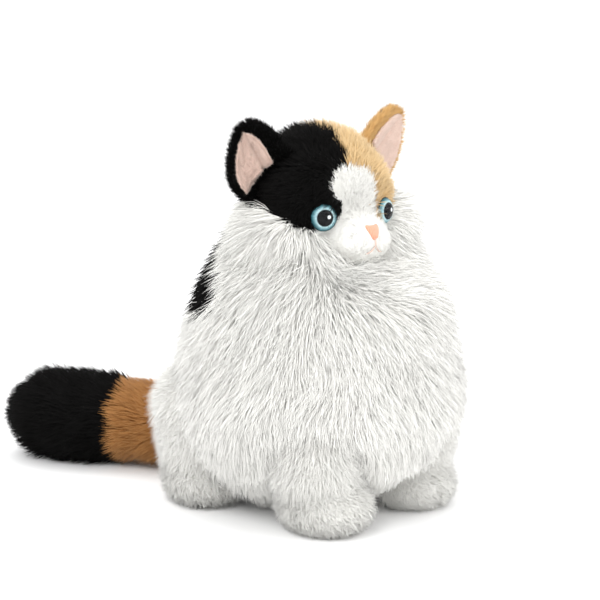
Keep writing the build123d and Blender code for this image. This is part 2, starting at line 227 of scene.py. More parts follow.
PINK_CLOTH = cloth_material("pink_lining", (0.84, 0.64, 0.55), (0.74, 0.52, 0.44), 90, 0.5)
NOSE_THREAD = thread_material("nose_thread", (0.80, 0.34, 0.22), (0.66, 0.25, 0.16), 260)
MOUTH_THREAD = thread_material("mouth_thread", (0.72, 0.55, 0.47), (0.55, 0.38, 0.32), 400)
TOE_THREAD = thread_material("toe_thread", (0.74, 0.68, 0.62), (0.58, 0.52, 0.47), 400)


# ---------------------------------------------------------------- mesh building

def finish_piece(obj, body, material, slot_name, *replaced):
    if material is not None:
        obj.data.materials.clear()
        obj.data.materials.append(material)
    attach(obj, body)
    if replaced:
        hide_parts(*replaced)
    return obj


def mesh_object(name, verts, faces, smooth=True):
    """A new object from vertices in mm."""
    mesh = bpy.data.meshes.new(name)
    mesh.from_pydata((np.asarray(verts, float) * MM).tolist(), [], [list(map(int, f)) for f in faces])
    mesh.validate()
    mesh.update()
    if smooth:
        mesh.polygons.foreach_set("use_smooth", np.ones(len(mesh.polygons), bool))
    obj = bpy.data.objects.new(name, mesh)
    SCENE.collection.objects.link(obj)
    return obj


def read_mesh(obj):
    """Vertices in mm, triangle corners and smooth vertex normals of an object."""
    mesh = obj.data
    verts = np.zeros(len(mesh.vertices) * 3)
    mesh.vertices.foreach_get("co", verts)
    verts = verts.reshape(-1, 3) / MM
    mesh.calc_loop_triangles()
    corners = np.zeros(len(mesh.loop_triangles) * 3, int)
    mesh.loop_triangles.foreach_get("vertices", corners)
    corners = corners.reshape(-1, 3)
    a, b, c = (verts[corners[:, k]] for k in range(3))
    face = np.cross(b - a, c - a)
    normals = np.zeros_like(verts)
    for k in range(3):
        np.add.at(normals, corners[:, k], face)
    return verts, corners, unit(normals)


def write_verts(obj, verts):
    obj.data.vertices.foreach_set("co", (np.asarray(verts) * MM).ravel())
    obj.data.update()


def grid_faces(rows, columns, closed):
    """Quads between the rows of a grid whose columns may close on themselves."""
    faces = []
    last = columns if closed else columns - 1
    for r in range(rows - 1):
        for c in range(last):
            d = (c + 1) % columns
            faces.append((r * columns + c, r * columns + d, (r + 1) * columns + d, (r + 1) * columns + c))
    return faces


def ball_part(centre, semi, turn=0.0, rings=24, columns=36):
    """A closed ellipsoid, turned about Z, as vertices and faces."""
    verts = []
    for r in range(1, rings):
        polar = math.pi * r / rings
        for c in range(columns):
            angle = 2 * math.pi * c / columns
            ring = math.sin(polar)
            verts.append((ring * math.cos(angle), ring * math.sin(angle), math.cos(polar)))
    verts = verts + [(0, 0, 1), (0, 0, -1)]
    verts = np.array(verts) * np.array(semi)
    spin = np.array([[math.cos(turn), -math.sin(turn), 0], [math.sin(turn), math.cos(turn), 0], [0, 0, 1]])
    verts = verts @ spin.T + np.array(centre)
    faces = [tuple(reversed(f)) for f in grid_faces(rings - 1, columns, True)]
    top = (rings - 1) * columns
    bottom = top + 1
    for c in range(columns):
        d = (c + 1) % columns
        faces.append((top, c, d))
        faces.append((bottom, (rings - 2) * columns + d, (rings - 2) * columns + c))
    return verts, faces


def between_parts(start, end, first, last, count=5):
    """A chain of balls that makes a rounded limb between two points."""
    parts = []
    for k in range(count):
        t = k / (count - 1)
        radius = first + (last - first) * t
        parts.append(ball_part(np.array(start) * (1 - t) + np.array(end) * t, (radius,) * 3))
    return parts


def union_skin(name, parts, voxel, rounds):
    """One smooth skin round several overlapping closed parts."""
    verts, faces, count = [], [], 0
    for part_verts, part_faces in parts:
        verts.append(part_verts)
        faces += [tuple(i + count for i in face) for face in part_faces]
        count += len(part_verts)
    obj = mesh_object(name, np.concatenate(verts), faces)
    remesh = obj.modifiers.new("remesh", "REMESH")
    remesh.mode = "VOXEL"
    remesh.voxel_size = voxel * MM
    relax = obj.modifiers.new("smooth", "SMOOTH")
    relax.factor = 0.5
    relax.iterations = rounds
    bake_modifiers(obj)
    return obj


def bake_modifiers(obj):
    bpy.context.view_layer.update()
    evaluated = obj.evaluated_get(bpy.context.evaluated_depsgraph_get())
    mesh = bpy.data.meshes.new_from_object(evaluated)
    mesh.name = obj.name
    old = obj.data
    obj.modifiers.clear()
    obj.data = mesh
    bpy.data.meshes.remove(old)
    mesh.polygons.foreach_set("use_smooth", np.ones(len(mesh.polygons), bool))


def split_by_face(obj, wanted, name):
    """A copy of the object that keeps only the faces whose centre is wanted."""
    mesh = obj.data
    verts = np.zeros(len(mesh.vertices) * 3)
    mesh.vertices.foreach_get("co", verts)
    verts = verts.reshape(-1, 3) / MM
    kept, used = [], {}
    for polygon in mesh.polygons:
        centre = np.array(polygon.center) / MM
        if wanted(centre[None, :])[0]:
            kept.append([used.setdefault(i, len(used)) for i in polygon.vertices])
    order = sorted(used, key=used.get)
    return mesh_object(name, verts[order], kept)


# ---------------------------------------------------------------- fur

def roots_on(obj, count, rng, keep=None):
    """Random points spread evenly over an object's skin, with their normals."""
    verts, corners, normals = read_mesh(obj)
    a, b, c = (verts[corners[:, k]] for k in range(3))
    area = np.linalg.norm(np.cross(b - a, c - a), axis=1)
    chosen = rng.choice(len(area), size=count, p=area / area.sum())
    u, v = rng.random(count), rng.random(count)
    flip = u + v > 1
    u[flip], v[flip] = 1 - u[flip], 1 - v[flip]
    weights = np.stack([1 - u - v, u, v], 1)[:, :, None]
    points = (verts[corners[chosen]] * weights).sum(1)
    normal = unit((normals[corners[chosen]] * weights).sum(1))
    if keep is not None:
        held = keep(points)
        points, normal = points[held], normal[held]
    return points, normal


def grow(name, body, material, slot_name, points, normals, flow, length, width, rng,
         lift=0.55, bend=0.4, fall=0.15, clump=7.0, gather=0.6, stray=0.12, rings=3, relief=0.45, floor=0.6):
    """A mesh of tapered fibres, one per root point. Sizes are in mm."""
    count = len(points)
    length = np.broadcast_to(np.asarray(length, float), (count,))
    flow = unit(flow - normals * (flow * normals).sum(1, keepdims=True))
    lift = np.broadcast_to(np.asarray(lift, float), (count,))[:, None]
    long = (length * rng.uniform(0.75, 1.2, count))[:, None]
    start = unit(normals * lift + flow * (1 - lift) + rng.normal(size=(count, 3)) * stray)
    pull = flow * bend + np.array([0, 0, -1.0]) * fall
    cells = np.floor(points / clump + rng.uniform(-0.35, 0.35, (count, 3))).astype(int)
    _, group = np.unique(cells, axis=0, return_inverse=True)
    group = group.ravel()
    size = np.bincount(group).astype(float)
    middle = np.stack([np.bincount(group, points[:, k]) / size for k in range(3)], 1)[group]
    gathered = (middle - points) * gather
    gathered -= normals * np.minimum((gathered * normals).sum(1, keepdims=True), 0)
    steps = np.array([0.0, 0.5, 0.8, 1.0]) if rings == 3 else np.array([0.0, 0.55, 1.0])
    line = []
    for t in steps:
        line.append(points - normals * 0.6 + long * (start * t + pull * t * t * 0.6) + gathered * t ** 1.5)
    line = np.stack(line, 1)
    line[:, :, 2] = np.maximum(line[:, :, 2], floor)
    ahead = unit(line[:, -1] - line[:, 0])
    side = unit(np.cross(ahead, normals + rng.normal(size=(count, 3)) * 0.3))
    other = np.cross(ahead, side)
    taper = [1.0, 0.85, 0.55] if rings == 3 else [1.0, 0.7]
    thick = (width / 2 * rng.uniform(0.75, 1.25, count))[:, None]
    angle0 = rng.uniform(0, 2 * math.pi, count)
    stacked = []
    shading = []
    for r in range(rings):
        for k in range(3):
            angle = angle0 + k * 2 * math.pi / 3
            round_it = side * np.cos(angle)[:, None] + other * np.sin(angle)[:, None]
            stacked.append(line[:, r] + round_it * thick * taper[r])
            shading.append(unit(normals + round_it * relief))
    stacked.append(line[:, -1])
    shading.append(normals)
    per = rings * 3 + 1
    verts = np.stack(stacked, 1).reshape(-1, 3)
    verts[:, 2] = np.maximum(verts[:, 2], floor * 0.6)
    quads = [(r * 3 + k, r * 3 + (k + 1) % 3, (r + 1) * 3 + (k + 1) % 3, (r + 1) * 3 + k)
             for r in range(rings - 1) for k in range(3)]
    ends = [((rings - 1) * 3 + k, (rings - 1) * 3 + (k + 1) % 3, per - 1) for k in range(3)]
    pattern = [i for face in quads + ends for i in face]
    starts = np.cumsum([0] + [len(face) for face in quads + ends])
    loops = (np.arange(count)[:, None] * per + np.array(pattern)[None, :]).ravel()
    first = (np.arange(count)[:, None] * len(pattern) + starts[:-1][None, :]).ravel()
    mesh = bpy.data.meshes.new(name)
    mesh.vertices.add(len(verts))
    mesh.vertices.foreach_set("co", (verts * MM).ravel())
    mesh.loops.add(len(loops))
    mesh.loops.foreach_set("vertex_index", loops)
    mesh.polygons.add(len(first))
    mesh.polygons.foreach_set("loop_start", first)
    mesh.update(calc_edges=True)
    mesh.polygons.foreach_set("use_smooth", np.ones(len(first), bool))
    soft = mesh.attributes.new("custom_normal", "FLOAT_VECTOR", "POINT")
    soft.data.foreach_set("vector", np.stack(shading, 1).ravel())
    along = np.concatenate([np.repeat(steps[:rings], 3), [1.0]])
    pick = rng.uniform(0.02, 0.98, count)
    down = np.repeat(along[None, :] * 0.96 + 0.02, count, 0)
    coordinates = np.stack([np.repeat(pick[:, None], per, 1), down], 2)
    layer = mesh.uv_layers.new(name="OFBake")
    layer.data.foreach_set("uv", coordinates.reshape(-1, 2)[loops].ravel())
    obj = bpy.data.objects.new(name, mesh)
    SCENE.collection.objects.link(obj)
    return finish_piece(obj, body, material, slot_name)


# ---------------------------------------------------------------- torso and ruff

TORSO_WIDEST_HEIGHT = 88
TORSO_WIDEST_RADIUS = 103
TORSO_REACH_BELOW = 90.5
TORSO_REACH_ABOVE = 155
TORSO_SKIN_TOP = 230


def profile_radius(height):
    """The torso's radius at a height: a rounded curve below its widest ring, a straighter one above."""
    height = np.clip(height, 0, TORSO_SKIN_TOP)
    below = np.clip(TORSO_WIDEST_HEIGHT - height, 0, None) / TORSO_REACH_BELOW
    above = np.clip(height - TORSO_WIDEST_HEIGHT, 0, None) / TORSO_REACH_ABOVE
    return TORSO_WIDEST_RADIUS * np.sqrt(1 - below ** 1.6 - above ** 1.45)


def front_dip(angle, height):
    """How far the collar is set back under the chin, as a share of the radius."""
    near = np.exp(-(np.abs(angle) / math.radians(38)) ** 3)
    return 1 - 0.62 * near * smooth_step(166, 200, height)


def leg_dip(angle, height):
    """How far the torso is pressed in behind the legs, as a share of the radius."""
    low = 1 - smooth_step(62, 92, height)
    turn = np.degrees(np.abs(angle))
    return 0.13 * low * (np.exp(-((turn - 44) / 20) ** 2) + np.exp(-((turn - 136) / 20) ** 2))


def torso_point(angle, height):
    """Skin point of the torso. The angle is counted from the front, towards the left."""
    radius = profile_radius(height) * front_dip(angle, height)
    belly = 1 + 0.02 * np.cos(angle) * smooth_step(60, 110, height) * (1 - smooth_step(150, 190, height))
    radius = radius * belly * (1 - leg_dip(angle, height))
    return np.stack([radius * np.sin(angle), -radius * np.cos(angle), height], -1)


def build_torso_skin():
    heights = np.concatenate([[0, 1.5, 4, 8], np.linspace(13, 230, 48)])
    columns = 96
    angles = np.linspace(-math.pi, math.pi, columns, endpoint=False)
    rows = [torso_point(angles, np.full(columns, h)) for h in heights]
    verts = np.concatenate(rows)
    faces = grid_faces(len(heights), columns, True)
    verts = np.concatenate([verts, [[0, 0, 0], [0, 0, 232]]])
    low, high = len(verts) - 2, len(verts) - 1
    top = (len(heights) - 1) * columns
    for c in range(columns):
        d = (c + 1) % columns
        faces.append((low, d, c))
        faces.append((high, top + c, top + d))
    return mesh_object("torso_white_skin", verts, faces)


def from_front(points):
    """Angle round the cat from the front, towards its left."""
    return np.arctan2(points[:, 0], -points[:, 1])


def is_back_black(points):
    """The black patch on the back of the neck and shoulders."""
    angle = np.degrees(np.abs(from_front(points)))
    edge = np.interp(points[:, 2], [154, 163, 175, 190, 200, 215], [150, 110, 101, 103, 113, 124])
    return (angle > edge + wave_noise(points, 26, 5) * 3) & (points[:, 2] > 156)


# ---------------------------------------------------------------- head

BLAZE_CENTRE = (-4.5, 248.5)
BLAZE_HALF = (19, 13.5)
BRIDGE_MIDDLE = -2.5
BRIDGE_HALF = 15
MUZZLE_HALF = 34
MUZZLE_TOP = 216
BRIDGE_BOTTOM = 233
FACE_WHITE_BOTTOM = 170
RUFF_EDGE_FRONT = 214
RUFF_EDGE_RISE = 26
RUFF_EDGE_DROP = 60
RUFF_LEFT_RAISE = 9


def in_blaze(across, height):
    """A round blaze on the forehead, and a bridge under it that widens onto the muzzle."""
    offset = ((across - BLAZE_CENTRE[0]) / BLAZE_HALF[0], (height - BLAZE_CENTRE[1]) / BLAZE_HALF[1])
    narrow = smooth_step(MUZZLE_TOP, BRIDGE_BOTTOM, height)
    half = MUZZLE_HALF + (BRIDGE_HALF - MUZZLE_HALF) * narrow
    bridge = np.abs(across - BRIDGE_MIDDLE * narrow) < half
    reach = (height > FACE_WHITE_BOTTOM) & (height < BLAZE_CENTRE[1])
    return (offset[0] ** 2 + offset[1] ** 2 < 1) | (bridge & reach)


def ruff_edge(around, on_left):
    """The height of the ruff's edge: it rises from the chin to the side of the head, then drops behind."""
    rise = RUFF_EDGE_RISE * smooth_step(20, 105, around)
    drop = RUFF_EDGE_DROP * smooth_step(117, 162, around)
    raised = RUFF_LEFT_RAISE * smooth_step(36, 48, around) * (1 - smooth_step(70, 90, around))
    return RUFF_EDGE_FRONT + rise - drop + np.where(on_left, raised, 0)


def is_face_white(points):
    ragged = np.stack([wave_noise(points, 9, 11), wave_noise(points, 9, 21)], 1) * 0.8
    around = np.degrees(np.abs(from_front(points)))
    edge = ruff_edge(around, points[:, 0] > 0)
    under_edge = (around > 36) & (points[:, 2] + ragged[:, 0] < edge)
    flat = points[:, [0, 2]] + ragged
    return under_edge | ((points[:, 1] < 0) & in_blaze(flat[:, 0], flat[:, 1]))


def head_colour(points):
    """0 white, 1 black, 2 orange, by place on the head."""
    border = np.where(points[:, 1] < 0, points[:, 1] * 0.15, 0) + wave_noise(points, 14, 31) * 1.5
    colour = np.where(points[:, 0] < border, 1, 2)
    colour[is_face_white(points)] = 0
    return colour


def build_head_skin():
    parts = [
        ball_part(HEAD, (57, 46.5, 46)),
        ball_part(MUZZLE + (0, 0, -2), (29, 24, 24)),
        ball_part(MUZZLE + (-11, -10.5, -4), (14, 12.5, 11.5)),
        ball_part(MUZZLE + (11, -10.5, -4), (14, 12.5, 11.5)),
        ball_part(MUZZLE + (0, -7, 3), (11, 17.5, 12)),
        ball_part(MUZZLE + (0, -5, -14), (15, 14, 9)),
        ball_part((0, 0, 208), (50, 44, 26)),
        ball_part((-47, -11, 214), (22, 28, 22)),
        ball_part((47, -11, 214), (22, 28, 22)),
    ]
    return union_skin("head_skin", parts, 2.5, 8)


# ---------------------------------------------------------------- legs and tail

TOE_STEP = 9.0


def dent_toes(obj, foot, splay, side, reach):
    """Press grooves into the front of a foot where the toe threads pull it in."""
    verts, _, normals = read_mesh(obj)
    forward = np.array([math.sin(splay) * side, -math.cos(splay), 0])
    across = np.array([math.cos(splay), math.sin(splay) * side, 0])
    local = verts - foot
    ahead = local @ forward
    lateral = local @ across
    depth = np.zeros(len(verts))
    for step in (-1, 0, 1):
        depth += np.exp(-((lateral - step * TOE_STEP) / 2.2) ** 2)
    strength = smooth_step(reach * 0.55, reach * 0.85, ahead) * smooth_step(2, 7, verts[:, 2])
    strength *= 1 - smooth_step(27, 34, verts[:, 2])
    verts -= normals * (depth * strength * 2.6)[:, None]
    verts[:, 2] = np.maximum(verts[:, 2], 1.2)
    write_verts(obj, verts)
    return forward, across


def near_toe_line(points, foot, across, forward, reach):
    local = points - foot
    lateral = local @ across
    ahead = local @ forward
    line = np.zeros(len(points), bool)
    for step in (-1, 0, 1):
        line |= np.abs(lateral - step * TOE_STEP) < 1.0
    return line & (ahead > reach * 0.6) & (points[:, 2] < 29)


LEGS = {
    "front": dict(foot=(45, -52, 19), half=36, wide=30, tall=21, splay=6, hip_radius=29, column=30),
    "hind": dict(foot=(60, 62, 19), half=36, wide=30, tall=21, splay=35, hip_radius=33, column=31),
}


def build_leg(kind, side_name):
    side = SIDES[side_name]
    spec = LEGS[kind]
    hip = joint_point(f"{kind}_leg_{side_name}_swing")
    foot = np.array(spec["foot"], float) * (side, 1, 1)
    turn = math.radians(-90 + spec["splay"]) if side > 0 else math.radians(-90 - spec["splay"])
    parts = [ball_part(hip, (spec["hip_radius"],) * 3)]
    outward = unit(hip * (1, 1, 0))
    column = spec["column"]
    parts.append(ball_part(hip + outward * 7 + (0, 0, 16), (column - 1,) * 3))
    parts += between_parts(hip + outward * 4, foot + (0, 2, 4), column, column - 2)
    parts.append(ball_part(foot, (spec["half"], spec["wide"], spec["tall"]), turn))
    parts.append(ball_part(foot + (0, 0, -5), (spec["half"] - 3, spec["wide"] - 1, 12), turn))
    name = f"{kind}_leg_{side_name}"
    skin = union_skin(f"{name}_skin", parts, 2.6, 5)
    verts, _, _ = read_mesh(skin)
    verts[:, 2] = np.maximum(verts[:, 2], 1.2)
    write_verts(skin, verts)
    splay = math.radians(spec["splay"])
    forward, across = dent_toes(skin, foot, splay, side, spec["half"])
    nodes = [f"{name}_{part}" for part in ("cover", "stuffing", "sole")]
    finish_piece(skin, name, WHITE_CLOTH, "white_short_pile", *nodes)
    return skin, name, foot, forward, across, spec


def leg_fur(skin, name, foot, forward, across, spec, seed):
    rng = np.random.default_rng(seed)
    points, normals = roots_on(skin, 21000, rng, lambda p: np.hypot(p[:, 0], p[:, 1]) > 55)
    clear = ~near_toe_line(points, foot, across, forward, spec["half"])
    points, normals = points[clear], normals[clear]
    low = 1 - smooth_step(24, 46, points[:, 2])
    flow = np.array([0, 0, -1.0]) * (1 - low)[:, None] + (forward + np.array([0, 0, -0.35])) * low[:, None]
    length = 9 + 6 * smooth_step(18, 80, points[:, 2])
    return grow(f"{name}_fur", name, SHORT_FUR, "white_short_pile", points, normals, flow, length, 0.6, rng,
                lift=0.6, bend=0.3, fall=0.06, clump=6.0, gather=0.3, stray=0.3, rings=2, relief=0.5)


def toe_threads(skin, name, foot, forward, across):
    """Thread lines lying in the grooves between the toes."""
    bpy.context.view_layer.update()
    runs = []
    for step in (-1, 0, 1):
        run = []
        for k in range(9):
            height = 4 + 15 * k / 8
            origin = foot + across * step * TOE_STEP + forward * 60
            origin[2] = height
            hit, place, normal, _ = skin.ray_cast(Vector(origin * MM), Vector(-forward))
            if hit:
                run.append(np.array(place) / MM + np.array(normal) * 0.7)
        if len(run) > 3:
            runs.append(run)
    obj = thread_tubes(f"{name}_toe_threads", runs, 0.55)
    return finish_piece(obj, name, TOE_THREAD, "sewing_thread", f"{name}_toe_stitches")


def thread_tubes(name, runs, radius):
    verts, faces = [], []
    for run in runs:
        run = np.array(run, float)
        columns = 6
        base = len(verts)
        ahead = unit(np.gradient(run, axis=0))
        for k, point in enumerate(run):
            first = unit(np.cross(ahead[k], np.array([0.3, 0.2, 0.93])))
            second = np.cross(ahead[k], first)
            swell = radius * (0.75 if k in (0, len(run) - 1) else 1.0)
            for c in range(columns):
                angle = 2 * math.pi * c / columns
                verts.append(point + (first * math.cos(angle) + second * math.sin(angle)) * swell)
        faces += [tuple(i + base for i in f) for f in grid_faces(len(run), columns, True)]
        faces.append(tuple(base + c for c in range(columns)))
        faces.append(tuple(base + (len(run) - 1) * columns + c for c in reversed(range(columns))))
    return mesh_object(name, verts, faces)


TAIL_SKIN_SEAM = 84
TAIL_FUR_SEAM = 81
# Each pair is a distance from the tail's root and the tail's radius there.
TAIL_PROFILE = [(-14, 10), (-6, 16), (2, 17), (14, 18), (24, 20), (36, 22.5), (52, 25), (75, 26), (95, 27),
                (115, 28), (138, 28.5), (154, 27), (166, 21.5), (174, 13.5), (178, 6)]


def build_tail():
    stations = np.array([p[0] for p in TAIL_PROFILE], float)
    radii = np.array([p[1] for p in TAIL_PROFILE], float)
    along = np.concatenate([[-14], np.linspace(-11, 174, 62), [176.5, 178]])
    across = np.cross(TAIL_DIR, [0, 0, 1.0])
    columns = 48
    verts = []
    for d in along:
        radius = float(np.interp(d, stations, radii))
        for c in range(columns):
            angle = 2 * math.pi * c / columns
            lump = 1 + 0.02 * math.sin(d * 0.11 + 2 * angle) + 0.015 * math.sin(d * 0.23 - angle)
            spoke = across * math.cos(angle) + UP * math.sin(angle)
            verts.append(TAIL_ROOT + TAIL_DIR * d + spoke * radius * lump)
    faces = [tuple(reversed(face)) for face in grid_faces(len(along), columns, True)]
    verts.append(TAIL_ROOT + TAIL_DIR * -15)
    verts.append(TAIL_ROOT + TAIL_DIR * 179)
    low, high = len(verts) - 2, len(verts) - 1
    top = (len(along) - 1) * columns
    for c in range(columns):
        d = (c + 1) % columns
        faces.append((low, c, d))
        faces.append((high, top + d, top + c))
    verts = np.array(verts)
    verts[:, 2] = np.maximum(verts[:, 2], 1.5)
    return mesh_object("tail_skin", verts, faces)


def tail_distance(points):
    return (points - TAIL_ROOT) @ TAIL_DIR


# ---------------------------------------------------------------- ears

EAR_LEAN = math.radians(54.7)
EAR_SHAPE = [(-18, -11), (-20, -2), (-22, 8), (-22.5, 18), (-21.5, 27), (-18.5, 35.5), (-12.5, 40.3),
             (-4, 38.5), (5, 33.5), (14.5, 26.5), (22, 18), (26.5, 8), (27.5, -2), (25, -11)]


def ear_outline_width(height):
    """Left and right edge of the ear at a height above its base."""
    left = np.interp(height, [p[1] for p in EAR_SHAPE[:7]], [p[0] for p in EAR_SHAPE[:7]])
    right = np.interp(height, [p[1] for p in EAR_SHAPE[:6:-1]], [p[0] for p in EAR_SHAPE[:6:-1]])
    return left, right


EAR_TOP = 40.1
EAR_INNER_GAP = {-1.0: 7.0, 1.0: 2.0}
EAR_TWIST = {-1.0: math.radians(22), 1.0: math.radians(10)}


def ear_axes(side):
    """Unit vectors along the ear's base, up the ear and out of its lining."""
    level = np.array([math.cos(EAR_LEAN), 0, -math.sin(EAR_LEAN)])
    up = np.array([math.sin(EAR_LEAN), 0, math.cos(EAR_LEAN)])
    twist = EAR_TWIST[side]
    base = level * math.cos(twist) + np.array([0, math.sin(twist), 0])
    front = np.array([0, -math.cos(twist), 0]) + level * math.sin(twist)
    return base * (side, 1, 1), up * (side, 1, 1), front * (side, 1, 1)


def ear_to_frame(local, side):
    """Ear points (along the base, up the ear, to the front) to the row frame."""
    base, up, front = ear_axes(side)
    hinge = joint_point("ear_left_fold") * (side, 1, 1)
    return hinge + local[:, :1] * base + local[:, 1:2] * up + local[:, 2:] * front


def ear_surface(front, inset, rows=22, columns=17, inner=0.0, bottom=-2.0):
    """A cupped sheet in the ear's outline, in ear coordinates, set in further on its inner side."""
    points = []
    for r in range(rows):
        height = bottom + inset * 0.6 + (EAR_TOP - bottom - inset * 1.3) * r / (rows - 1)
        left, right = ear_outline_width(min(height, EAR_TOP))
        share = r / (rows - 1)
        closing = math.sqrt(max(0.0, 1 - max(0.0, (r / (rows - 1) - 0.86) / 0.14) ** 2))
        middle = (left + right) / 2
        left = middle + (left + inset + inner * (1.5 - share) - middle) * closing
        right = middle + (right - inset - middle) * closing
        if right < left:
            left = right = middle
        for c in range(columns):
            t = c / (columns - 1) * 2 - 1
            x = (left + right) / 2 + (right - left) / 2 * t
            cup = (1 - t * t) * (1 - (r / (rows - 1)) ** 2)
            points.append((x, height, front(t, cup, r / (rows - 1))))
    return np.array(points)


def build_ear(side_name):
    side = SIDES[side_name]
    rows, columns = 22, 17
    black = side_name == "right"
    front_side = ear_surface(lambda t, cup, r: 3.0 - 3.2 * cup - 0.64 * (1 - abs(t)), 0.0, bottom=-11.0)
    back_side = ear_surface(lambda t, cup, r: -1.4 - 3.2 * cup, 0.0, bottom=-11.0)
    faces = grid_faces(rows, columns, False)
    count = rows * columns
    verts = np.concatenate([front_side, back_side])
    if side > 0:
        all_faces = list(faces) + [tuple(i + count for i in reversed(f)) for f in faces]
    else:
        all_faces = [tuple(reversed(f)) for f in faces] + [tuple(i + count for i in f) for f in faces]
    rim = [r * columns for r in range(rows)]
    rim += [(rows - 1) * columns + c for c in range(1, columns)]
    rim += [r * columns + columns - 1 for r in range(rows - 2, -1, -1)]
    rim += [c for c in range(columns - 2, 0, -1)]
    for a, b in zip(rim, rim[1:] + rim[:1]):
        face = (a, b, b + count, a + count)
        all_faces.append(tuple(reversed(face)) if side < 0 else face)
    body = f"ear_{side_name}"
    skin = mesh_object(f"{body}_skin", ear_to_frame(verts, side), all_faces)
    relax = skin.modifiers.new("smooth", "SMOOTH")
    relax.iterations = 2
    bake_modifiers(skin)
    finish_piece(skin, body, BLACK_CLOTH if black else ORANGE_CLOTH,
                 "black_pile" if black else "orange_pile", f"{body}_back")
    fold = -3.5 if side > 0 else -5.0

    def lining_front(t, cup, r):
        crease = 1.8 * math.exp(-((t * 10 - fold) / 1.3) ** 2) * min(1, 2.5 * (1 - r))
        return 5.2 - 3.0 * cup - crease

    lining_points = ear_surface(lining_front, 4.5, inner=EAR_INNER_GAP[side])
    lining_faces = faces if side > 0 else [tuple(reversed(f)) for f in faces]
    lining = mesh_object(f"{body}_lining_cloth", ear_to_frame(lining_points, side), lining_faces)
    thick = lining.modifiers.new("thick", "SOLIDIFY")
    thick.thickness = 1.2 * MM
    thick.offset = -1
    bake_modifiers(lining)
    finish_piece(lining, body, PINK_CLOTH, "pink_lining", f"{body}_lining")
    return skin, lining


def ear_fur(side_name, skin, lining, seed):
    side = SIDES[side_name]
    rng = np.random.default_rng(seed)
    body = f"ear_{side_name}"
    black = side_name == "right"
    hinge = joint_point(f"ear_{side_name}_fold")
    base, up, front = ear_axes(side)

    def local(points):
        offset = points - hinge
        return offset @ base, offset @ up

    points, normals = roots_on(skin, 11000, rng)
    x, height = local(points)
    centre_left, centre_right = ear_outline_width(np.clip(height, -2, EAR_TOP))
    inner = EAR_INNER_GAP[side] * (1.5 - (height + 2) / 42)
    covered = (x > centre_left + 5 + inner) & (x < centre_right - 4.5) & (height > 0) & (height < 35)
    covered &= normals @ front > -0.1
    points, normals, x = points[~covered], normals[~covered], x[~covered]
    centre_left, centre_right = centre_left[~covered], centre_right[~covered]
    outward = np.sign(x - (centre_left + centre_right) / 2)[:, None] * base
    flow = up + outward * 0.25
    material = BLACK_FUR if black else EAR_ORANGE_FUR
    grow(f"{body}_fur", body, material, "black_pile" if black else "orange_pile", points, normals, flow,
         6.0, 0.6, rng, lift=0.4, bend=0.25, fall=0.0, clump=4.0, gather=0.35, stray=0.18, rings=2)
    points, normals = roots_on(lining, 9000, rng)
    ahead = normals @ front > 0.3
    points, normals = points[ahead], normals[ahead]
    grow(f"{body}_lining_nap", body, PINK_FUR, "pink_lining", points, normals,
         np.broadcast_to(up, points.shape), 2.4, 0.5, rng, lift=0.5, bend=0.2, fall=0.0,
         clump=3.0, gather=0.2, stray=0.25, rings=2)


# ---------------------------------------------------------------- eyes, nose, mouth

def eye_frame(side_name):
    side = SIDES[side_name]
    turn = EYE_TURN[side_name]
    out = np.array([math.sin(turn) * side, -math.cos(turn), 0])
    across = np.array([math.cos(turn), math.sin(turn) * side, 0])
    seat = node_centre(f"eye_{side_name}_iris") + EYE_SHIFT[side_name]
    return seat, out, across


